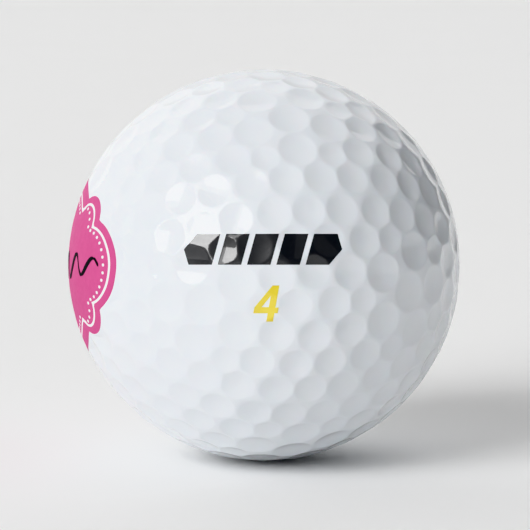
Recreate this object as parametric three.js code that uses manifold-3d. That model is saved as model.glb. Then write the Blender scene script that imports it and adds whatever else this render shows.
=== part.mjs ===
// Golf ball: a two-piece ball, a solid rubber core in a dimpled cover, with its printed marks.
// Millimetres, +Z up, origin at the ball's centre. The front print faces -Y and a little up, because
// the ball lies rolled back; its reader's right is +X. The badge is on the -X side.
//
// The cover has 432 dimples in seven kinds. They fill the 12 pentagons and 20 triangles that six
// great circles cut on the sphere, so all six circles run between dimples, and the mould's seam
// is one of them. The layout has every turn and mirror of the icosahedron.

import * as THREE from 'three';
import { ConvexHull } from 'three/addons/math/ConvexHull.js';
import { mergeVertices } from 'three/addons/utils/BufferGeometryUtils.js';
import Module from 'manifold-3d';

const wasm = await Module();
wasm.setup();

// ---- Driving dimensions ----

const BALL_RADIUS = 21.36;
const CORE_RADIUS = 19.3;
const CORE_GAP = 0.02;              // between the core and the inside of the cover
const SEAM_GAP = 0.02;              // between the two halves of the cover
const CORE_DETAIL = 5;              // subdivisions of the core's icosahedron

const WALL_ANGLE = 10.5;            // slope of a dimple's wall at its rim, from the plane of the rim, degrees

const ROLL_BACK = 8;                // the ball lies with its prints turned up by this much, degrees

// How the prints sit on the moulding, before that roll: the seam's pole leans away from +Z towards
// a heading counted from +X, and the pattern is turned about that pole.
const POLE_LEAN = 20.7;
const POLE_HEADING = 113.4;
const PATTERN_SPIN = 26.0;

const PRISM_START = 6;              // the prisms that cut the prints start this far from the middle
const INK_GAP = 0.01;               // under each print
const INK_THICKNESS = 0.04;

const BLOCK_COUNT = 5;              // alignment mark: a row of slanted blocks
const MARK_HEIGHT = 3.22;
const MARK_PITCH = 3.06;
const BLOCK_WIDTH = 2.45;
const BLOCK_SLANT = 0.9;            // how far a block's top leans to the right of its foot
const POINT_DEPTH = 0.93;           // how far the two end blocks come to a point
const MARK_CENTRE = { x: -0.14, y: 1.64 };

const NUMBER_HEIGHT = 3.78;         // play number
const NUMBER_WIDTH = 2.54;
const NUMBER_SLANT = 0.178;         // how far it leans to the right for each unit of height
const STEM = { left: 1.5, right: 2.2 };
const BAR = { low: 0.88, high: 1.47 };
const COUNTER = { left: 0.74, low: 1.51, top: 2.7 };   // the closed triangle inside the figure
const NUMBER_CENTRE = { x: 0.3, y: -4.02 };

const BADGE_TURN = -90;             // round from the name stamp to the middle of the badge, degrees
const SIDE_LOBE = { x: 9.5, y: 0, radius: 5 };
const CORNER_LOBE = { x: 8.35, y: 4.6, radius: 2.8 };
const TOP_LOBE = { x: 0, y: -2.6, radius: 12.05 };
const LINE_OUTER_INSET = 0.76;      // the bare line between the badge rim and its field
const LINE_INNER_INSET = 1.02;
const BADGE_STEPS = 72;             // points round the badge outline

const FLOURISH_LENGTH = 24;         // a calligraphic wave across the badge
const FLOURISH_WAVES = 5.5;
const FLOURISH_RISE = 1.35;
const FLOURISH_LEAN = 0.35;         // how far it leans to the right for each unit of height
const FLOURISH_THICK = 0.5;         // half the stroke's height where it climbs or falls
const FLOURISH_THIN = 0.17;         // half the stroke's height where it turns
const FLOURISH_TIP = 0.25;          // how thick its ends are, against its middle
const FLOURISH_STEPS = 66;

const SAME_PLACE = 1e-4;            // directions nearer than this are one direction

const degrees = THREE.MathUtils.degToRad;

// ---- Dimple layout, about the seam's pole as +Z ----

// Angles between neighbouring axes of the icosahedron, degrees.
const FIVE_TO_TWO = 31.717;
const FIVE_TO_THREE = 37.377;
const FIFTH_OF_A_TURN = 72;

const FIVE = new THREE.Vector3(0, 0, 1);
const TWO = fromPole(FIVE_TO_TWO, 0);
const THREE_FOLD = fromPole(FIVE_TO_THREE, FIFTH_OF_A_TURN / 2);

const DIMPLES = [
  { place: FIVE, diameter: 4.35, sides: 8 },
  { place: between(FIVE, THREE_FOLD, 11.88), diameter: 4.13, sides: 8 },
  { place: between(FIVE, TWO, 17.01), diameter: 3.02, sides: 6 },
  { place: fromPole(22.17, 22.27), diameter: 3.68, sides: 7 },
  { place: between(FIVE, TWO, 25.94), diameter: 3.62, sides: 7 },
  { place: between(TWO, THREE_FOLD, 9.37), diameter: 3.6, sides: 7 },
  { place: between(FIVE, THREE_FOLD, 31.57), diameter: 3.5, sides: 7 },
];

const PATTERN_TURNS = [
  new THREE.Quaternion().setFromAxisAngle(FIVE, degrees(FIFTH_OF_A_TURN)),
  new THREE.Quaternion().setFromAxisAngle(TWO, Math.PI),
];

// The direction at an angle from +Z and a bearing from +X.
function fromPole(angle, bearing) {
  const across = Math.sin(degrees(angle));
  const heading = degrees(bearing);
  return new THREE.Vector3(across * Math.cos(heading), across * Math.sin(heading), Math.cos(degrees(angle)));
}

// The direction an angle away from start, on the way to end.
function between(start, end, angle) {
  const axis = new THREE.Vector3().crossVectors(start, end).normalize();
  return start.clone().applyAxisAngle(axis, degrees(angle));
}

// Every place that the pattern's turns and its mirror carry one dimple to.
function everyCopy(place) {
  const found = [place];
  const isNew = (candidate) => !found.some((known) => known.distanceTo(candidate) < SAME_PLACE);
  const mirrored = new THREE.Vector3(place.x, -place.y, place.z);
  if (isNew(mirrored)) found.push(mirrored);
  for (const known of found) {
    for (const turn of PATTERN_TURNS) {
      const next = known.clone().applyQuaternion(turn);
      if (isNew(next)) found.push(next);
    }
  }
  return found;
}

// Points on the unit sphere, each with how far it sinks: rim points stay, a dimple's middle sinks.
function dimplePoints() {
  const points = [];
  for (const { place, diameter, sides } of DIMPLES) {
    const reach = Math.asin(diameter / 2 / BALL_RADIUS);
    const chordDrop = BALL_RADIUS * (1 - Math.cos(reach));
    const depth = (diameter / 2) * Math.tan(degrees(WALL_ANGLE) / 2);
    for (const middle of everyCopy(place)) {
      const aside = new THREE.Vector3(middle.y, middle.z, middle.x).cross(middle).normalize();
      const rim = middle.clone().applyAxisAngle(aside, reach);
      for (let side = 0; side < sides; side += 1) {
        const point = rim.clone().applyAxisAngle(middle, (2 * Math.PI * side) / sides);
        points.push({ point, sink: 0 });
      }
      points.push({ point: middle.clone(), sink: chordDrop + depth });
    }
  }
  return points;
}

// ---- Solids ----

function solidOf(vertices, triangles) {
  const vertProperties = new Float32Array(vertices);
  const triVerts = new Uint32Array(triangles);
  return new wasm.Manifold(new wasm.Mesh({ numProp: 3, vertProperties, triVerts }));
}

function solidFrom(geometry) {
  const bare = geometry.clone();
  bare.deleteAttribute('normal');
  bare.deleteAttribute('uv');
  const merged = mergeVertices(bare);
  return solidOf(merged.attributes.position.array, merged.index.array);
}

function geometryOf(solid) {
  const mesh = solid.getMesh();
  const geometry = new THREE.BufferGeometry();
  geometry.setAttribute('position', new THREE.BufferAttribute(mesh.vertProperties, 3));
  geometry.setIndex(new THREE.BufferAttribute(mesh.triVerts, 1));
  geometry.computeVertexNormals();
  return geometry;
}

// The ball's outside: the sphere's points joined as their hull joins them, then sunk into dimples.
function dimpledGeometry() {
  const points = dimplePoints();
  const numberOf = new Map(points.map(({ point }, number) => [point, number]));
  const hull = new ConvexHull().setFromPoints(points.map(({ point }) => point));
  const triangles = [];
  for (const face of hull.faces) {
    for (const edge of [face.edge, face.edge.next, face.edge.next.next]) {
      triangles.push(numberOf.get(edge.head().point));
    }
  }
  const vertices = points.flatMap(({ point, sink }) => {
    return point.clone().multiplyScalar(BALL_RADIUS - sink).toArray();
  });
  const geometry = new THREE.BufferGeometry();
  geometry.setAttribute('position', new THREE.Float32BufferAttribute(vertices, 3));
  geometry.setIndex(triangles);
  return geometry;
}

const lie = new THREE.Matrix4().makeRotationZ(degrees(POLE_HEADING))
  .multiply(new THREE.Matrix4().makeRotationY(degrees(POLE_LEAN)))
  .multiply(new THREE.Matrix4().makeRotationZ(degrees(PATTERN_SPIN)));

const outside = dimpledGeometry();
const ballSolid = solidFrom(outside);
const coreSolid = solidFrom(new THREE.IcosahedronGeometry(CORE_RADIUS, CORE_DETAIL));

function coverHalf(side) {
  const size = 4 * BALL_RADIUS;     // well clear of the ball
  const halfSpace = new THREE.BoxGeometry(size, size, size);
  halfSpace.translate(0, 0, (side * (size + SEAM_GAP)) / 2);
  return geometryOf(ballSolid.subtract(coreSolid).intersect(solidFrom(halfSpace)));
}

function coreGeometry() {
  return new THREE.IcosahedronGeometry(CORE_RADIUS - CORE_GAP, CORE_DETAIL);
}

// ---- Prints: each is the part of a thin skin on the cover that its outline covers ----

function skin(low, high) {
  const layer = (height) => {
    const scale = 1 + height / BALL_RADIUS;
    return solidFrom(outside.clone().scale(scale, scale, scale).applyMatrix4(lie));
  };
  return layer(high).subtract(layer(low));
}

const firstPrint = skin(INK_GAP, INK_GAP + INK_THICKNESS);
const overPrint = skin(2 * INK_GAP + INK_THICKNESS, 2 * (INK_GAP + INK_THICKNESS));

// The outline faces the way a reader looks, from the side that is `turn` degrees round from -Y.
function print(shape, layer, turn) {
  const prism = new THREE.ExtrudeGeometry(shape, { depth: BALL_RADIUS, bevelEnabled: false });
  prism.translate(0, 0, PRISM_START);
  prism.rotateX(Math.PI / 2);
  prism.rotateZ(degrees(turn));
  return geometryOf(layer.intersect(solidFrom(prism)));
}

function outline(corners) {
  return new THREE.Shape(corners.map(([x, y]) => new THREE.Vector2(x, y)));
}

// One block of the alignment mark; `point` is -1 or 1 where its left or right side is pointed.
function blockShape(number, point) {
  const middle = (BLOCK_COUNT + 1) / 2;
  const left = MARK_CENTRE.x + (number - middle) * MARK_PITCH - BLOCK_WIDTH / 2;
  const right = left + BLOCK_WIDTH;
  const lean = BLOCK_SLANT / 2;
  const low = MARK_CENTRE.y - MARK_HEIGHT / 2;
  const high = MARK_CENTRE.y + MARK_HEIGHT / 2;
  const corners = [[left - lean, low], [right - lean, low], [right + lean, high], [left + lean, high]];
  if (point === 1) corners.splice(2, 0, [right + POINT_DEPTH, MARK_CENTRE.y]);
  if (point === -1) corners.push([left - POINT_DEPTH, MARK_CENTRE.y]);
  return outline(corners);
}

function numberShape() {
  const place = ([x, y]) => {
    const rise = y - NUMBER_HEIGHT / 2;
    const across = x - NUMBER_WIDTH / 2;
    return [NUMBER_CENTRE.x + across + NUMBER_SLANT * rise, NUMBER_CENTRE.y + rise];
  };
  const shape = outline([
    [STEM.left, 0], [STEM.right, 0], [STEM.right, BAR.low], [NUMBER_WIDTH, BAR.low],
    [NUMBER_WIDTH, BAR.high], [STEM.right, BAR.high], [STEM.right, NUMBER_HEIGHT],
    [STEM.left, NUMBER_HEIGHT], [0, BAR.high], [0, BAR.low], [STEM.left, BAR.low],
  ].map(place));
  shape.holes.push(outline([
    [COUNTER.left, COUNTER.low], [STEM.left, COUNTER.top], [STEM.left, COUNTER.low],
  ].map(place)));
  return shape;
}

// Eight round lobes, mirrored both ways. A ray from the middle leaves by the lobe it leaves last.
function lobeReach(angle, inset) {
  const along = [Math.abs(Math.cos(angle)), Math.abs(Math.sin(angle))];
  const reaches = [SIDE_LOBE, CORNER_LOBE, TOP_LOBE].map(({ x, y, radius }) => {
    const middle = x * along[0] + y * along[1];
    const offset = x * along[1] - y * along[0];
    const room = (radius - inset) ** 2 - offset ** 2;
    return room < 0 ? 0 : middle + Math.sqrt(room);
  });
  return Math.max(...reaches);
}

function badgeOutline(inset) {
  const corners = [];
  for (let step = 0; step < BADGE_STEPS; step += 1) {
    const angle = (2 * Math.PI * (step + 0.5)) / BADGE_STEPS;
    const reach = lobeReach(angle, inset);
    corners.push([reach * Math.cos(angle), reach * Math.sin(angle)]);
  }
  return outline(corners);
}

function rimShape() {
  const shape = badgeOutline(0);
  shape.holes.push(badgeOutline(LINE_OUTER_INSET));
  return shape;
}

function flourishShape() {
  const upper = [];
  const lower = [];
  for (let step = 0; step <= FLOURISH_STEPS; step += 1) {
    const along = step / FLOURISH_STEPS;
    const swell = Math.cbrt(Math.sin(Math.PI * along));
    const phase = 2 * Math.PI * FLOURISH_WAVES * along;
    const y = FLOURISH_RISE * swell * Math.sin(phase);
    const x = FLOURISH_LENGTH * (along - 0.5) + FLOURISH_LEAN * y;
    const half = THREE.MathUtils.lerp(FLOURISH_THIN, FLOURISH_THICK, Math.abs(Math.cos(phase)));
    const width = half * THREE.MathUtils.lerp(FLOURISH_TIP, 1, swell);
    upper.push([x, y + width]);
    lower.push([x, y - width]);
  }
  return outline([...lower, ...upper.reverse()]);
}

// ---- Materials ----

const finish = (color, roughness) => new THREE.MeshStandardMaterial({ color, roughness, metalness: 0 });
const rubber = () => finish(0x3b4a63, 0.8);
const cover = () => finish(0xf1f2f4, 0.25);
const blackInk = () => finish(0x17191c, 0.35);
const yellowInk = () => finish(0xe7d33c, 0.35);
const pinkInk = () => finish(0xe0559a, 0.35);

// ---- The ball ----

const ball = new THREE.Group();
const rolled = new THREE.Group();
rolled.rotation.x = -degrees(ROLL_BACK);
ball.add(rolled);

function add(name, geometry, material, parent = rolled) {
  const mesh = new THREE.Mesh(geometry, material);
  mesh.name = name;
  parent.add(mesh);
}

const moulding = new THREE.Group();
moulding.applyMatrix4(lie);
rolled.add(moulding);
add('core', coreGeometry(), rubber(), moulding);
add('cover_upper_half', coverHalf(1), cover(), moulding);
add('cover_lower_half', coverHalf(-1), cover(), moulding);

for (const [side, turn] of [['front', 0], ['rear', 180]]) {
  for (let number = 1; number <= BLOCK_COUNT; number += 1) {
    const point = number === 1 ? -1 : Number(number === BLOCK_COUNT);
    add(`${side}_mark_block_${number}`, print(blockShape(number, point), firstPrint, turn), blackInk());
  }
  add(`${side}_play_number`, print(numberShape(), firstPrint, turn), yellowInk());
}

add('badge_rim', print(rimShape(), firstPrint, BADGE_TURN), pinkInk());
add('badge_field', print(badgeOutline(LINE_INNER_INSET), firstPrint, BADGE_TURN), pinkInk());
add('badge_flourish', print(flourishShape(), overPrint, BADGE_TURN), blackInk());

export default ball;
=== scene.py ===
import math

import bmesh
import bpy
import numpy as np
from mathutils import Matrix, Vector
from mathutils.geometry import delaunay_2d_cdt
from mathutils.kdtree import KDTree


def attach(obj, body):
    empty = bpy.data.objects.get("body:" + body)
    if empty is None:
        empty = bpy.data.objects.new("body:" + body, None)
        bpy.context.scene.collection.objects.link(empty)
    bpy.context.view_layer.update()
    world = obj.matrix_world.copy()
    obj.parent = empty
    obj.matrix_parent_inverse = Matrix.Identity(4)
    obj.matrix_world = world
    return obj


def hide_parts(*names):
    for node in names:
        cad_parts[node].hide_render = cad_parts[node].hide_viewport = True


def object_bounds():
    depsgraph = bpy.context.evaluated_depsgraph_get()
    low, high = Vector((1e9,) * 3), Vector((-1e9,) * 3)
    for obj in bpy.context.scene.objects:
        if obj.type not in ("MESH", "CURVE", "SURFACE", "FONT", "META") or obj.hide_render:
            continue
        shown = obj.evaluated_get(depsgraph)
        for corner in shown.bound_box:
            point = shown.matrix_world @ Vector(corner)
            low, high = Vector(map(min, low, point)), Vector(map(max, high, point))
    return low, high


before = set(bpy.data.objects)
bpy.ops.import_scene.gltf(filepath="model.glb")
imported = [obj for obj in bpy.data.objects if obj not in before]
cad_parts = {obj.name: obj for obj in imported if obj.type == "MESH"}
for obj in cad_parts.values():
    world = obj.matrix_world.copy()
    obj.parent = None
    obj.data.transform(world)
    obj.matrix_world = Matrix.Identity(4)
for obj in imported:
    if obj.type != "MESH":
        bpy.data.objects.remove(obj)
cad_low, cad_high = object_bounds()

# Lengths are millimetres until a mesh is made. Angles are degrees.
MM = 0.001
BODY = "root"

# ---- The ball ----

BALL_RADIUS = max(v.co.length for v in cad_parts["cover_upper_half"].data.vertices) / MM
CORE_RADIUS = max(v.co.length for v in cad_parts["core"].data.vertices) / MM
ROLL_BACK = 8.0          # the ball lies with its prints turned up by this much
POLE_LEAN = 20.7         # the seam's pole leans from +Z, towards a heading counted from +X
POLE_HEADING = 113.4
PATTERN_SPIN = 26.0      # the pattern is turned this far about the pole

WALL_ANGLE = 10.5        # slope of a dimple's wall at its rim, from the plane of the rim
RIM_SOFTNESS = 0.06      # height over which paint rounds a rim off
RIM_BAND = 0.2           # width of that rounding on each side of the rim
SEAM_STEPS = 36          # points along each of the ten arcs of the seam
FILL_SPACING = 0.38      # spacing of points on the land between dimples
FILL_CLEARANCE = 1.6 * RIM_BAND      # gap between those points and the rims
CLOSEST = 0.07           # points nearer than this are one point
EDGE_CLEARANCE = 1.5 * CLOSEST       # gap between a patch's edge and the points inside it
WELD = CLOSEST / 4       # patches' edges this near are joined
SLIVER = 0.0001          # triangles of less area lie along a straight side, and are left out
NORMAL_STEP = 0.01       # the step along the surface that its normals are found from

DIMPLE_REACH = 8         # no direction farther than this from a dimple's middle, in degrees, is in it
BATCH = 4000             # directions handled at a time
DIGITS = 3               # decimals by which two directions are told apart
SAME_TURN = 1e-4         # turns whose numbers differ by less are one turn
SAME_COSINE = 0.01       # corners whose cosines differ by less are as near
SAME_POINT = 1e-7        # points nearer than this are one point for the triangulation


def from_pole(angle, bearing):
    """The direction at an angle from +Z and a bearing from +X."""
    a, b = math.radians(angle), math.radians(bearing)
    return np.array([math.sin(a) * math.cos(b), math.sin(a) * math.sin(b), math.cos(a)])


def turn_about(axis, angle):
    return np.array(Matrix.Rotation(math.radians(angle), 3, Vector(axis)))


def between(start, end, angle):
    """The direction an angle away from start, on the way to end."""
    return turn_about(np.cross(start, end), angle) @ start


# How the moulding lies in the prints' own frame, and how that frame is rolled.
LIE = (
    turn_about((0, 0, 1), POLE_HEADING)
    @ turn_about((0, 1, 0), POLE_LEAN)
    @ turn_about((0, 0, 1), PATTERN_SPIN)
)
ROLL = turn_about((1, 0, 0), -ROLL_BACK)

# The layout has the symmetry of the icosahedron, with one of its five-fold axes at the seam's pole.
FIVE_FOLD = np.array([0.0, 0.0, 1.0])
TWO_FOLD = from_pole(31.717, 0)
THREE_FOLD = from_pole(37.377, 36)
DIMPLES = [
    (FIVE_FOLD, 4.35),
    (between(FIVE_FOLD, THREE_FOLD, 11.88), 4.13),
    (between(FIVE_FOLD, TWO_FOLD, 17.01), 3.02),
    (from_pole(22.17, 22.27), 3.68),
    (between(FIVE_FOLD, TWO_FOLD, 25.94), 3.62),
    (between(TWO_FOLD, THREE_FOLD, 9.37), 3.60),
    (between(FIVE_FOLD, THREE_FOLD, 31.57), 3.50),
]


def all_turns():
    """The sixty turns of the icosahedron, from two of them."""
    found = [np.eye(3)]
    for known in found:          # the list grows until nothing new turns up
        for step in (turn_about(FIVE_FOLD, 72), turn_about(TWO_FOLD, 180)):
            candidate = step @ known
            if not any(np.allclose(candidate, other, atol=SAME_TURN) for other in found):
                found.append(candidate)
    return found


TURNS = all_turns()


def name_of(direction):
    """A key by which equal directions are known. Adding zero makes every -0 a 0."""
    return tuple(np.round(direction, DIGITS) + 0.0)


def every_copy(place):
    """One turn for each distinct direction that the turns carry a direction to."""
    found = {}
    for turn in TURNS:
        found.setdefault(name_of(turn @ place), turn)
    return list(found.values())


def all_dimples():
    """Every dimple's middle and radius."""
    middles, radii = {}, {}
    for place, diameter in DIMPLES:
        for start in (place, place * (1, -1, 1)):
            for turn in every_copy(start):
                middle = turn @ start
                middles[name_of(middle)] = middle
                radii[name_of(middle)] = diameter / 2
    return np.array(list(middles.values())), np.array(list(radii.values()))


MIDDLES, RADII = all_dimples()
CAP_DEPTHS = RADII * math.tan(math.radians(WALL_ANGLE / 2))
CAP_RADII = (RADII**2 + CAP_DEPTHS**2) / (2 * CAP_DEPTHS)


def rim_distances(directions):
    """How far each direction lies outside each dimple's rim; negative inside it."""
    angles = np.arccos(np.clip(directions @ MIDDLES.T, -1, 1))
    return BALL_RADIUS * (angles - np.arcsin(RADII / BALL_RADIUS))


def sink(directions):
    """How far the surface lies under the ball's own sphere: round caps, softened at their rims."""
    total = np.zeros(len(directions))
    for start in range(0, len(directions), BATCH):
        cosines = directions[start : start + BATCH] @ MIDDLES.T
        rows, columns = np.nonzero(cosines > math.cos(math.radians(DIMPLE_REACH)))
        off = BALL_RADIUS * np.sqrt(1 - np.minimum(cosines[rows, columns], 1) ** 2)
        radius, cap = RADII[columns], CAP_RADII[columns]
        hollow = np.sqrt(cap**2 - off**2) - np.sqrt(cap**2 - radius**2)
        crown = np.sqrt(BALL_RADIUS**2 - off**2) - np.sqrt(BALL_RADIUS**2 - radius**2)
        depth = hollow + crown
        soft = (depth + RIM_SOFTNESS) ** 2 / (4 * RIM_SOFTNESS)
        depth = np.where(np.abs(depth) < RIM_SOFTNESS, soft, np.maximum(depth, 0))
        np.add.at(total, start + rows, depth)
    return total


def surface(directions, share=1):
    """Points of the ball's outside, or of a print that leaves only a share of each dimple's depth."""
    return directions * (BALL_RADIUS - share * sink(directions))[:, None]


def unit(vectors):
    return vectors / np.linalg.norm(vectors, axis=1)[:, None]


def normals_at(directions, share=1):
    """The surface's outward normals, from how it moves under a small step either way."""
    aside = unit(np.cross(directions, directions[:, [1, 2, 0]]))
    across = np.cross(directions, aside)
    step = NORMAL_STEP / BALL_RADIUS
    slopes = []
    for axis in (aside, across):
        ends = [surface(unit(directions + way * step * axis), share) for way in (1, -1)]
        slopes.append(ends[0] - ends[1])
    return unit(np.cross(*slopes))


# ---- Meshes ----


def thinned(points, spacing):
    """The points, in order, without those too near an earlier one."""
    tree = KDTree(len(points))
    for number, point in enumerate(points):
        tree.insert((*point, 0), number)
    tree.balance()
    dropped = set()
    for number, point in enumerate(points):
        if number in dropped:
            continue
        near = tree.find_range((*point, 0), spacing)
        dropped.update(other for _, other, _ in near if other > number)
    return np.array([p for number, p in enumerate(points) if number not in dropped])


def grid(low, high, spacing):
    """A triangular grid of points over a rectangle."""
    rows = []
    for number, y in enumerate(np.arange(low[1], high[1], spacing * math.sin(math.pi / 3))):
        x = np.arange(low[0] + spacing / 2 * (number % 2), high[0], spacing)
        rows.append(np.column_stack([x, np.full(len(x), y)]))
    return np.vstack(rows)


def inside(points, loops):
    """Whether each point is inside an outline with holes, by the even-odd rule."""
    hits = np.zeros(len(points), int)
    for loop in loops:
        for (x1, y1), (x2, y2) in zip(loop, np.roll(loop, -1, axis=0)):
            crosses = (points[:, 1] < y1) != (points[:, 1] < y2)
            if y1 != y2:
                x = x1 + (points[:, 1] - y1) * (x2 - x1) / (y2 - y1)
                hits += crosses & (points[:, 0] < x)
    return hits % 2 == 1


def clear_of(points, loops, gap):
    """Whether each point is at least a gap from every side of the loops."""
    clear = np.ones(len(points), bool)
    for loop in loops:
        for start, end in zip(loop, np.roll(loop, -1, axis=0)):
            along = end - start
            share = np.clip((points - start) @ along / (along @ along), 0, 1)
            clear &= np.linalg.norm(points - start - share[:, None] * along, axis=1) > gap
    return clear


def triangulated(loops, inner):
    """Points and triangles of a flat outline with holes, with extra points inside it."""
    sides, count = [], 0
    for loop in loops:
        numbers = np.arange(len(loop)) + count
        sides += zip(numbers.tolist(), np.roll(numbers, -1).tolist())
        count += len(loop)
    points = [Vector(p) for p in np.vstack([*loops, inner])]
    found = delaunay_2d_cdt(points, sides, [], 0, SAME_POINT)
    flat, faces = np.array(found[0]), np.array(found[2])
    first, second, third = (flat[faces[:, corner]] for corner in range(3))
    areas = np.cross(second - first, third - first) / 2
    kept = inside((first + second + third) / 3, loops) & (areas > SLIVER)
    return flat, faces[kept]


def new_object(name, points, faces):
    """A smooth-shaded mesh object in the scene, from points in millimetres."""
    mesh = bpy.data.meshes.new(name)
    mesh.from_pydata((np.asarray(points) * MM).tolist(), [], [list(map(int, f)) for f in faces])
    mesh.validate()
    mesh.polygons.foreach_set("use_smooth", [True] * len(mesh.polygons))
    made = bpy.data.objects.new(name, mesh)
    bpy.context.scene.collection.objects.link(made)
    return made


def shade(made, outer, share=1):
    """Gives the faces whose points are all outer the exact normals of the dimpled surface: no join shows."""
    mesh = made.data
    points = np.empty(len(mesh.vertices) * 3, np.float32)
    mesh.vertices.foreach_get("co", points)
    directions = unit(points.reshape(-1, 3) @ (ROLL @ LIE))
    exact = normals_at(directions, share) @ (ROLL @ LIE).T
    corners = np.empty(len(mesh.loops), np.int32)
    mesh.loops.foreach_get("vertex_index", corners)
    sizes = np.empty(len(mesh.polygons), np.int32)
    mesh.polygons.foreach_get("loop_total", sizes)
    starts = np.concatenate([[0], np.cumsum(sizes)[:-1]])
    whole = np.logical_and.reduceat(outer[corners], starts)
    normals = np.where(np.repeat(whole, sizes)[:, None], exact[corners], 0)
    mesh.normals_split_custom_set(normals.tolist())


def piece(name, slot, material, points, faces, *nodes):
    """A piece of the ball, with the CAD nodes it stands for, if any."""
    made = new_object(name, points, faces)
    made.data.materials.append(material)
    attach(made, BODY)
    if nodes:
        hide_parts(*nodes)
    return made


# ---- Cover ----

RINGS = [(0.3, 12), (0.55, 20), (0.78, 30)]      # inner rings: share of the radius, points
RIM_RINGS = (-1, -0.45, 0, 0.5, 1)               # rings about the rim: share of its band
RIM_SPACING = 0.28                               # spacing of points round those rings
INSIDE_LEVELS = 24                               # rows of faces up the inside of a half
SEAM_GAP = 0.01          # the halves touch at the ball's surface, and are each this far from the seam inside


def arc(start, end, steps):
    """Directions along the great circle from start to just before end."""
    angle = math.degrees(math.acos(np.clip(start @ end, -1, 1)))
    return np.array([between(start, end, angle * step / steps) for step in range(steps)])


def dimple_rings(middle, radius):
    """Directions on rings round a dimple's middle: through its cap, then close together at its rim."""
    reach = math.asin(radius / BALL_RADIUS)
    band = RIM_BAND / BALL_RADIUS
    steps = round(2 * math.pi * radius / RIM_SPACING)
    rings = [(share * (reach - band), count) for share, count in RINGS]
    rings += [(reach + share * band, steps) for share in RIM_RINGS]
    aside = np.cross(middle, middle[[1, 2, 0]])
    aside /= np.linalg.norm(aside)
    across = np.cross(middle, aside)
    found = [middle[None]]
    for number, (angle, count) in enumerate(rings):
        t = (np.arange(count) + 0.5 * (number % 2)) * 2 * math.pi / count
        out = np.outer(np.cos(t), aside) + np.outer(np.sin(t), across)
        found.append(math.cos(angle) * middle + math.sin(angle) * out)
    return np.vstack(found)


def patch(centre):
    """One face of the sphere that the six great circles cut: its points on the ball, and triangles."""
    corners = [turn @ TWO_FOLD for turn in every_copy(TWO_FOLD)]
    nearest = max(corner @ centre for corner in corners)
    corners = np.array([corner for corner in corners if corner @ centre > nearest - SAME_COSINE])
    right = corners[0] - centre * (corners[0] @ centre)
    right /= np.linalg.norm(right)
    up = np.cross(centre, right)
    corners = corners[np.argsort(np.arctan2(corners @ up, corners @ right))]

    def flat(directions):
        scaled = directions / (directions @ centre)[:, None]
        return BALL_RADIUS * np.column_stack([scaled @ right, scaled @ up])

    def on_sphere(points):
        return unit(centre + (points[:, :1] * right + points[:, 1:] * up) / BALL_RADIUS)

    edge = np.vstack([arc(a, b, SEAM_STEPS) for a, b in zip(corners, np.roll(corners, -1, axis=0))])
    rim = flat(edge)
    owned = [number for number in range(len(MIDDLES)) if MIDDLES[number] @ centre > nearest]
    kept = []
    for number in owned:
        rings = dimple_rings(MIDDLES[number], RADII[number])
        away = rim_distances(rings)
        own = away[:, number].copy()
        away[:, number] = np.inf
        kept.append(rings[own <= away.min(axis=1)])
    fill = grid(rim.min(axis=0), rim.max(axis=0), FILL_SPACING)
    land = on_sphere(fill)
    kept.append(land[rim_distances(land).min(axis=1) > FILL_CLEARANCE])
    inner = flat(np.vstack(kept))
    inner = inner[inside(inner, [rim])]
    inner = inner[clear_of(inner, [rim], EDGE_CLEARANCE)]
    points, faces = triangulated([rim], thinned(inner, CLOSEST))
    return surface(on_sphere(points)), faces


def cover_half(side, patches):
    """One half of the cover, closed by its inside and the seam's flat: its points and faces."""
    mesh = bmesh.new()
    for centre, (points, faces) in patches:
        for turn in every_copy(centre):
            if side * (turn @ centre)[2] > 0:
                corners = [mesh.verts.new(p) for p in points @ turn.T]
                for a, b, c in faces:
                    mesh.faces.new((corners[a], corners[b], corners[c]))
    bmesh.ops.remove_doubles(mesh, verts=mesh.verts, dist=WELD)
    seam = sorted(
        {v for e in mesh.edges if e.is_boundary for v in e.verts},
        key=lambda v: side * math.atan2(v.co.y, v.co.x),
    )
    turns = [math.atan2(v.co.y, v.co.x) for v in seam]
    ring = seam
    for level in range(INSIDE_LEVELS):
        rise = math.pi / 2 * level / INSIDE_LEVELS
        height = side * (CORE_RADIUS * math.sin(rise) + SEAM_GAP)
        width = CORE_RADIUS * math.cos(rise)
        above = [mesh.verts.new((width * math.cos(t), width * math.sin(t), height)) for t in turns]
        for number, vertex in enumerate(ring):
            following = (number + 1) % len(ring)
            mesh.faces.new((vertex, above[number], above[following], ring[following]))
        ring = above
    top = mesh.verts.new((0, 0, side * (CORE_RADIUS + SEAM_GAP)))
    for number, vertex in enumerate(ring):
        mesh.faces.new((vertex, top, ring[(number + 1) % len(ring)]))
    bmesh.ops.recalc_face_normals(mesh, faces=mesh.faces)
    mesh.verts.index_update()
    points = np.array([v.co for v in mesh.verts]) @ (ROLL @ LIE).T
    faces = [[v.index for v in f.verts] for f in mesh.faces]
    mesh.free()
    return points, faces


# ---- Prints ----

FILM_LIFT = 0.03         # the top of a print above the cover
FILM_DEPTH = 0.05        # its underside, below the cover's surface
FILM_SPACING = 0.24
FILM_CLEARANCE = FILM_SPACING / 3    # gap between a print's outline and the points inside it
PRESSINGS = 4            # rounds in which a point pressed on to the dimpled surface settles

# Outlines are flat: x to the reader's right and y up from the middle of the side they are printed on.
BLOCK_COUNT = 5
MARK_HEIGHT = 3.22
MARK_PITCH = 3.06
MARK_MIDDLE = np.array([-0.14, 1.64])
BLOCK_WIDTH = 2.45
BLOCK_LEAN = 0.45        # how far a block's top lies to the right of its middle
POINT_DEPTH = 0.93       # how far the end blocks' points stand out

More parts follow.
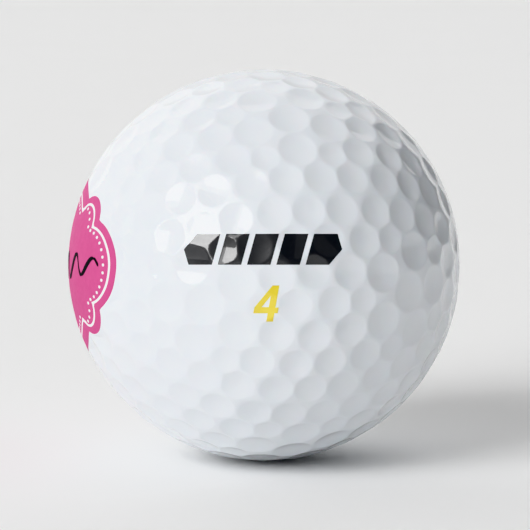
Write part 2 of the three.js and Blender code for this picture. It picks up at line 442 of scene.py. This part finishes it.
NUMBER_SIZE = np.array([2.54, 3.78])
NUMBER_MIDDLE = np.array([0.3, -4.02])
NUMBER_SLANT = 0.178
STEM = (1.5, 2.2)        # left and right sides of the figure's upright
BAR = (0.88, 1.47)       # foot and top of its crossbar
COUNTER = [(0.74, 1.51), (1.5, 2.7), (1.5, 1.51)]     # the hole in it

# A lobe is a circle: x and y of its middle, mirrored in both axes, and its radius.
BADGE_TURN = -90
BADGE_STEPS = 216
LOBES = [(9.5, 0, 5), (8.35, 4.6, 2.8), (0, -2.6, 12.05)]    # the badge's own outline
LINE_LOBES = [(9.5, 0, 4.24), (7.95, 4.33, 2.31), (0, -2.6, 10.65)]
LINE_WIDTH = 0.26        # the white line is this wide, and lies just inside its own lobes
DOT_LOBES = [(8.98, 0, 3.8), (7.2, 4.1, 2.05), (0, -2.6, 9.9)]
DOT_COUNT = 80
DOT_RADIUS = 0.165
DOT_SIDES = 14
DOT_CLEARANCE = 3 * DOT_RADIUS       # dots whose middles are nearer than this are one dot

BADGE_SHARE = 0.1        # the badge's base fills all but this share of each dimple's depth
BASE_MARGIN = 0.15       # how far the base shows round the badge
BASE_LEVEL = -0.7        # its top lies above a print's by this share of FILM_LIFT, so here below it
BASE_FLARE = 3.0         # how far it slopes off beneath its edge, as a multiple of its thickness
LEAST_REACH = 1          # points nearer the middle than this run out as if they were here

FLOURISH_LENGTH = 24
FLOURISH_WAVES = 5.5
FLOURISH_RISE = 1.35
FLOURISH_LEAN = 0.35
FLOURISH_THICK = 0.5
FLOURISH_THIN = 0.17
FLOURISH_TIP = 0.25
FLOURISH_STEPS = 264


def dense(corners):
    """The outline with its long sides divided."""
    found = []
    for start, end in zip(corners, np.roll(corners, -1, axis=0)):
        steps = max(1, math.ceil(np.linalg.norm(end - start) / FILM_SPACING))
        found += [start + (end - start) * step / steps for step in range(steps)]
    return np.array(found)


def block_outline(number):
    """One block of the alignment mark. The first and the last come to a point."""
    middle = MARK_MIDDLE + [(number - (BLOCK_COUNT + 1) / 2) * MARK_PITCH, 0]
    half, rise = BLOCK_WIDTH / 2, MARK_HEIGHT / 2
    corners = [(-half - BLOCK_LEAN, -rise), (half - BLOCK_LEAN, -rise)]
    if number == BLOCK_COUNT:
        corners.append((half + POINT_DEPTH, 0))
    corners += [(half + BLOCK_LEAN, rise), (-half + BLOCK_LEAN, rise)]
    if number == 1:
        corners.append((-half - POINT_DEPTH, 0))
    return [dense(middle + np.array(corners))]


def number_outlines():
    """The play number: its outside and the hole in it."""
    width, height = NUMBER_SIZE
    outer = [
        (STEM[0], 0), (STEM[1], 0), (STEM[1], BAR[0]), (width, BAR[0]), (width, BAR[1]), (STEM[1], BAR[1]),
        (STEM[1], height), (STEM[0], height), (0, BAR[1]), (0, BAR[0]), (STEM[0], BAR[0]),
    ]
    loops = []
    for loop in (outer, COUNTER):
        corners = np.array(loop) - NUMBER_SIZE / 2
        corners[:, 0] += NUMBER_SLANT * corners[:, 1]
        loops.append(dense(NUMBER_MIDDLE + corners))
    return loops


def lobe_reach(angle, lobes, inset):
    """How far out the lobes' outline is: where a ray from the middle leaves the last of them."""
    along = np.array([abs(math.cos(angle)), abs(math.sin(angle))])
    reaches = []
    for x, y, radius in lobes:
        offset = x * along[1] - y * along[0]
        room = (radius - inset) ** 2 - offset**2
        reaches.append(0 if room < 0 else x * along[0] + y * along[1] + math.sqrt(room))
    return max(reaches)


def badge_outline(lobes, inset=0):
    """The outline round the lobes, each of them drawn in by the inset."""
    angles = np.arange(BADGE_STEPS) * 2 * math.pi / BADGE_STEPS
    reaches = np.array([lobe_reach(angle, lobes, inset) for angle in angles])
    return reaches[:, None] * np.column_stack([np.cos(angles), np.sin(angles)])


def flourish_outline():
    """A wave whose stroke is thick where it climbs or falls, and thin at its crests and ends."""
    along = np.linspace(0, 1, FLOURISH_STEPS + 1)
    swell = np.cbrt(np.sin(math.pi * along).clip(0))
    phase = 2 * math.pi * FLOURISH_WAVES * along
    y = FLOURISH_RISE * swell * np.sin(phase)
    x = FLOURISH_LENGTH * (along - 0.5) + FLOURISH_LEAN * y
    half = FLOURISH_THIN + (FLOURISH_THICK - FLOURISH_THIN) * np.abs(np.cos(phase))
    half *= FLOURISH_TIP + (1 - FLOURISH_TIP) * swell
    lower = np.column_stack([x, y - half])
    upper = np.column_stack([x, y + half])
    return [np.vstack([lower, upper[::-1]])]


def dot_outlines():
    """White dots, evenly spaced along lobes inside the badge's own."""
    line = badge_outline(DOT_LOBES)
    closed = np.vstack([line, line[:1]])
    lengths = np.linalg.norm(np.diff(closed, axis=0), axis=1)
    distance = np.concatenate([[0], np.cumsum(lengths)])
    at = np.arange(DOT_COUNT) * distance[-1] / DOT_COUNT
    middles = np.column_stack([np.interp(at, distance, closed[:, axis]) for axis in (0, 1)])
    middles = thinned(middles, DOT_CLEARANCE)
    angles = np.arange(DOT_SIDES) * 2 * math.pi / DOT_SIDES
    circle = DOT_RADIUS * np.column_stack([np.cos(angles), np.sin(angles)])
    return [middle + circle for middle in middles]


def printed_on(flat, turn, share):
    """Directions in which flat points land on a print that is pressed on straight from one side."""
    facing = turn_about((0, 0, 1), turn)
    across = flat @ np.array([facing[:, 0], facing[:, 2]])
    reach = np.full(len(flat), BALL_RADIUS)
    for _ in range(PRESSINGS):
        forward = np.sqrt(reach**2 - (flat**2).sum(axis=1))
        directions = unit(across - forward[:, None] * facing[:, 1])
        reach = BALL_RADIUS - share * sink(directions @ LIE)
    return directions


def film(name, slot, material, loops, turn, nodes, level=0, share=1, under=1, flare=0):
    """A print: a closed film.

    Its top follows one share of each dimple's depth, and its underside another. A flare spreads the underside
    by a multiple of the film's thickness."""
    low, high = np.vstack(loops).min(axis=0), np.vstack(loops).max(axis=0)
    inner = grid(low, high, FILM_SPACING)
    inner = inner[inside(inner, loops)]
    inner = inner[clear_of(inner, loops, FILM_CLEARANCE)]
    flat, faces = triangulated(loops, inner)
    directions = printed_on(flat, turn, share)
    depths = sink(directions @ LIE)
    top = directions * (BALL_RADIUS - share * depths + FILM_LIFT * (1 + level))[:, None]
    thickness = (under - share) * depths + FILM_LIFT * (1 + level) + FILM_DEPTH
    run_out = 1 + flare * thickness / np.linalg.norm(flat, axis=1).clip(LEAST_REACH)
    directions = printed_on(flat * run_out[:, None], turn, share)
    bottom = directions * (BALL_RADIUS - under * sink(directions @ LIE) - FILM_DEPTH)[:, None]
    count = len(flat)
    closed = [tuple(f) for f in faces] + [tuple(f[::-1] + count) for f in faces]
    sides = {(a, b) for f in faces for a, b in zip(f, np.roll(f, -1))}
    for a, b in sides:
        if (b, a) not in sides:
            closed.append((b, a, a + count, b + count))
    points = np.vstack([top, bottom]) @ ROLL.T
    made = piece(name, slot, material, points, closed, *nodes)
    made.data.polygons.foreach_set("use_smooth", np.arange(len(closed)) < len(faces))
    shade(made, np.arange(2 * count) < count, share)


# ---- Materials ----

NOISE_RANGE = (0.3, 0.7)     # noise seldom leaves this
TINT_RANGE = (0.35, 0.65)    # noise that the two tints of a colour stand for

COAT_ROUGHNESS = 0.03
COAT_IOR = 1.6
PAINT_DEPTH = 0.4        # how far light wanders in the paint

# The sizes and heights of noise are millimetres.
PAINT_TINT_SIZE = 6
PAINT_GLOSS_SIZE = 3
PEEL_SIZE = 0.9
PEEL_HEIGHT = 0.001
INK_TINT_SIZE = 0.7
INK_GLOSS_SIZE = 0.3
INK_GRAIN_SIZE = 0.25
INK_GRAIN_HEIGHT = 0.0008
RUBBER_TINT_SIZE = 2
RUBBER_GLOSS_SIZE = 1
RUBBER_GRAIN_SIZE = 0.3
RUBBER_GRAIN_HEIGHT = 0.01

GLOSS_SPREAD = 0.05          # an ink's roughness varies by this much either way
BADGE_FINISH = (0.65, 0, 0.15)   # the badge is printed over the clear coat: roughness, coat, specular level


def socket(shader, **values):
    """Sets a node's inputs, whose names have underscores here for their spaces."""
    for name, value in values.items():
        shader.inputs[name.replace("_", " ")].default_value = value


class Finish:
    """A material of one Principled shader, and the nodes that vary it from place to place."""

    def __init__(self, name):
        self.material = bpy.data.materials.new(name)
        self.material.use_nodes = True
        self.nodes = self.material.node_tree.nodes
        self.link = self.material.node_tree.links.new
        self.shader = self.nodes["Principled BSDF"]
        self.place = self.nodes.new("ShaderNodeTexCoord").outputs["Object"]

    def noise(self, size, detail=2.0):
        """Noise whose features are about this many millimetres across."""
        noise = self.nodes.new("ShaderNodeTexNoise")
        noise.inputs["Scale"].default_value = 1 / (size * MM)
        noise.inputs["Detail"].default_value = detail
        self.link(self.place, noise.inputs["Vector"])
        return noise.outputs["Fac"]

    def spread(self, value, low, high):
        """Noise, which lies about its middle, stretched over low to high."""
        spread = self.nodes.new("ShaderNodeMapRange")
        socket(spread, From_Min=NOISE_RANGE[0], From_Max=NOISE_RANGE[1], To_Min=low, To_Max=high)
        self.link(value, spread.inputs["Value"])
        return spread.outputs["Result"]

    def colours(self, value, first, second):
        """The base colour, from one tint to another."""
        ramp = self.nodes.new("ShaderNodeValToRGB")
        for end, position, colour in zip(ramp.color_ramp.elements, TINT_RANGE, (first, second)):
            end.position = position
            end.color = (*colour, 1)
        self.link(value, ramp.inputs["Fac"])
        self.link(ramp.outputs["Color"], self.shader.inputs["Base Color"])

    def bump(self, value, height, name="Normal"):
        """Relief, in millimetres."""
        bump = self.nodes.new("ShaderNodeBump")
        socket(bump, Strength=1.0, Distance=height * MM)
        self.link(value, bump.inputs["Height"])
        self.link(bump.outputs["Normal"], self.shader.inputs[name])


def paint():
    """White paint under a clear coat that has a trace of orange peel."""
    made = Finish("cover paint")
    socket(made.shader, Coat_Weight=1.0, Coat_Roughness=COAT_ROUGHNESS, Coat_IOR=COAT_IOR)
    socket(made.shader, Subsurface_Weight=0.06, Subsurface_Scale=PAINT_DEPTH * MM)
    made.colours(made.noise(PAINT_TINT_SIZE), (0.805, 0.84, 0.885), (0.82, 0.855, 0.9))
    made.bump(made.noise(PEEL_SIZE), PEEL_HEIGHT, "Coat Normal")
    made.link(made.spread(made.noise(PAINT_GLOSS_SIZE), 0.4, 0.5), made.shader.inputs["Roughness"])
    return made.material


def ink(name, thin, full, roughness=0.4, coat=1.0, gloss=0.5):
    """Ink, a little uneven in how thickly it lies, with or without the ball's clear coat over it."""
    made = Finish(name)
    socket(made.shader, Coat_Weight=coat, Coat_Roughness=COAT_ROUGHNESS, Coat_IOR=COAT_IOR)
    socket(made.shader, Specular_IOR_Level=gloss)
    made.colours(made.noise(INK_TINT_SIZE, 3.0), thin, full)
    rough = made.spread(made.noise(INK_GLOSS_SIZE), roughness - GLOSS_SPREAD, roughness + GLOSS_SPREAD)
    made.link(rough, made.shader.inputs["Roughness"])
    made.bump(made.noise(INK_GRAIN_SIZE), INK_GRAIN_HEIGHT)
    return made.material


def rubber():
    """Dull dark blue rubber, mottled and grainy."""
    made = Finish("core rubber")
    made.colours(made.noise(RUBBER_TINT_SIZE, 4.0), (0.03, 0.05, 0.1), (0.05, 0.075, 0.13))
    made.link(made.spread(made.noise(RUBBER_GLOSS_SIZE), 0.7, 0.9), made.shader.inputs["Roughness"])
    made.bump(made.noise(RUBBER_GRAIN_SIZE, 4.0), RUBBER_GRAIN_HEIGHT)
    return made.material


# ---- The pieces ----

CORE_BODY = CORE_RADIUS - 0.1        # radius of the core without its flash
FLASH_HEIGHT = 0.05
FLASH_WIDTH = 0.35                   # degrees either side of the core's equator
CORE_COLUMNS = 180
CORE_RISES = [-84, *range(-80, -3, 4), -2, -FLASH_WIDTH]     # rows of points below the equator, in degrees


def core_mesh():
    """A moulded ball with the low flash line of its own mould, at right angles to the cover's seam."""
    rises = [*CORE_RISES, 0, *(-angle for angle in reversed(CORE_RISES))]
    points, faces = [], []
    for rise in rises:
        radius = CORE_BODY + (FLASH_HEIGHT if rise == 0 else 0)
        for column in range(CORE_COLUMNS):
            points.append(radius * from_pole(90 - rise, 360 * column / CORE_COLUMNS))

    def beside(row, column):
        start = row * CORE_COLUMNS
        return start + column, start + (column + 1) % CORE_COLUMNS

    for row in range(len(rises) - 1):
        for column in range(CORE_COLUMNS):
            start, following = beside(row, column)
            faces.append((start, following, following + CORE_COLUMNS, start + CORE_COLUMNS))
    for end, row, way in ((-CORE_BODY, 0, -1), (CORE_BODY, len(rises) - 1, 1)):
        points.append((0, 0, end))
        for column in range(CORE_COLUMNS):
            faces.append((*beside(row, column)[::way], len(points) - 1))
    upright = LIE @ turn_about((1, 0, 0), 90)
    return np.array(points) @ (ROLL @ upright).T, faces


points, faces = core_mesh()
piece("rubber_core", "core_rubber", rubber(), points, faces, "core")

patches = [(centre, patch(centre)) for centre in (FIVE_FOLD, THREE_FOLD)]
white = paint()
for side, name in ((1, "cover_upper_half"), (-1, "cover_lower_half")):
    points, faces = cover_half(side, patches)
    shell = piece(name.replace("half", "shell"), "cover_white", white, points, faces, name)
    shade(shell, np.linalg.norm(points, axis=1) > (BALL_RADIUS + CORE_RADIUS) / 2)

black = ink("black ink", (0.012, 0.013, 0.016), (0.009, 0.01, 0.013))
yellow = ink("yellow ink", (0.835, 0.68, 0.056), (0.805, 0.645, 0.042))
pink = ink("badge pink", (0.585, 0.1, 0.268), (0.56, 0.093, 0.255), *BADGE_FINISH)
white_ink = ink("badge white", (0.9, 0.9, 0.91), (0.87, 0.87, 0.885), *BADGE_FINISH)
matt_black = ink("badge black", (0.008, 0.009, 0.011), (0.006, 0.007, 0.009), *BADGE_FINISH)

for side, turn in (("front", 0), ("rear", 180)):
    for number in range(1, BLOCK_COUNT + 1):
        node = f"{side}_mark_block_{number}"
        film(f"{side}_ink_block_{number}", "ink_black", black, block_outline(number), turn, [node])
    film(f"{side}_number", "ink_yellow", yellow, number_outlines(), turn, [f"{side}_play_number"])

# The badge's base nearly levels the dimples under it, and its inks lie on that.
base = [badge_outline(LOBES, -BASE_MARGIN)]
film("badge_base", "cover_white", white, base, BADGE_TURN, [], BASE_LEVEL, BADGE_SHARE, flare=BASE_FLARE)
outer = badge_outline(LOBES)
line_outer = badge_outline(LINE_LOBES)
line_inner = badge_outline(LINE_LOBES, LINE_WIDTH)
for name, slot, material, loops, nodes, level in (
    ("badge_border", "ink_pink", pink, [outer, line_outer], ["badge_rim"], 0),
    ("badge_line", "cover_white", white_ink, [line_outer, line_inner], [], 0),
    ("badge_middle", "ink_pink", pink, [line_inner], ["badge_field"], 0),
    ("badge_dots", "cover_white", white_ink, dot_outlines(), [], 1),
    ("badge_wave", "ink_black", matt_black, flourish_outline(), ["badge_flourish"], 1),
):
    film(name, slot, material, loops, BADGE_TURN, nodes, level, BADGE_SHARE, BADGE_SHARE)


# ---- Floor, light and camera ----

FLOOR_REACH = 4000       # from its middle to each side
FLOOR_DEPTH = 6          # how far light wanders in it, which softens shadows
FLOOR_TINT_SIZE = 40
LIGHT_DISTANCE = 8.0     # metres; so far off that the whole floor in view is lit alike
WALL_TOP = 0.25          # sine of the rise at which the walls are dark
WALL_FOOT_GREY = 0.2     # how bright they are at the horizon
WALL_TOP_GREY = 0.01     # and from WALL_TOP upwards
CAMERA_DISTANCE = 22 * BALL_RADIUS
CAMERA_RISE = 8
HALF_FRAME = 0.0616      # half the picture's width at a distance of one
SENSOR_WIDTH = 36        # millimetres, like the lens
NEAREST, FARTHEST = 0.01, 20     # metres that the camera sees between
AIM = Vector((0.07, 0, 0)) * MM


def floor_material():
    """A matt pale sheet that light goes into a little way."""
    made = Finish("pale floor")
    socket(made.shader, Roughness=0.9, Specular_IOR_Level=0.1)
    socket(made.shader, Subsurface_Weight=1.0, Subsurface_Radius=(1, 1, 1))
    socket(made.shader, Subsurface_Scale=FLOOR_DEPTH * MM)
    made.colours(made.noise(FLOOR_TINT_SIZE), (0.915, 0.915, 0.91), (0.92, 0.92, 0.915))
    return made.material


corners = [(x * FLOOR_REACH, y * FLOOR_REACH, 0) for x, y in ((-1, -1), (1, -1), (1, 1), (-1, 1))]
floor = new_object("floor", corners, [(0, 1, 2, 3)])
floor.location.z = cad_low.z
floor.data.materials.append(floor_material())


def area_light(name, azimuth, rise, spread, radiance):
    """A square soft light that faces the ball and looks this many degrees across from it.

    Azimuth 0 is the camera's side and 90 the right."""
    light = bpy.data.lights.new(name, "AREA")
    light.size = 2 * LIGHT_DISTANCE * math.tan(math.radians(spread / 2))
    light.energy = radiance * math.pi * light.size**2
    made = bpy.data.objects.new(name, light)
    towards = Matrix.Rotation(math.radians(azimuth), 3, "Z") @ Vector(from_pole(90 - rise, -90))
    made.location = towards * LIGHT_DISTANCE
    made.rotation_euler = towards.to_track_quat("Z", "Y").to_euler()
    bpy.context.scene.collection.objects.link(made)


for name, azimuth, rise, spread, radiance in (
    ("softbox", -42, 32, 36, 2.6),
    ("softbox middle", -43, 28, 30, 6.0),
    ("front", -15, 22, 60, 0.27),
    ("left", -100, 25, 80, 0.38),
    ("left back", -135, 15, 60, 0.85),
    ("back", 180, 25, 60, 0.8),
    ("top back", 150, 60, 60, 0.42),
    ("top right", 80, 55, 80, 0.25),
):
    area_light(name, azimuth, rise, spread, radiance)


def walls():
    """Dim surroundings, palest along the horizon."""
    world = bpy.data.worlds.new("studio")
    world.use_nodes = True
    nodes, link = world.node_tree.nodes, world.node_tree.links.new
    split = nodes.new("ShaderNodeSeparateXYZ")
    ramp = nodes.new("ShaderNodeValToRGB")
    horizon, overhead = ramp.color_ramp.elements
    horizon.color = (WALL_FOOT_GREY, WALL_FOOT_GREY, WALL_FOOT_GREY, 1)
    overhead.position = WALL_TOP
    overhead.color = (WALL_TOP_GREY, WALL_TOP_GREY, WALL_TOP_GREY, 1)
    link(nodes.new("ShaderNodeTexCoord").outputs["Generated"], split.inputs["Vector"])
    link(split.outputs["Z"], ramp.inputs["Fac"])
    link(ramp.outputs["Color"], nodes["Background"].inputs["Color"])
    return world


bpy.context.scene.world = walls()
bpy.context.scene.view_settings.view_transform = "Khronos PBR Neutral"

camera = bpy.data.cameras.new("camera")
camera.sensor_width = SENSOR_WIDTH
camera.lens = SENSOR_WIDTH / 2 / HALF_FRAME
camera.clip_start, camera.clip_end = NEAREST, FARTHEST
shooter = bpy.data.objects.new("camera", camera)
rise = math.radians(CAMERA_RISE)
back = Vector((0, -math.cos(rise), math.sin(rise)))
shooter.location = AIM + back * CAMERA_DISTANCE * MM
shooter.rotation_euler = back.to_track_quat("Z", "Y").to_euler()
bpy.context.scene.collection.objects.link(shooter)
bpy.context.scene.camera = shooter
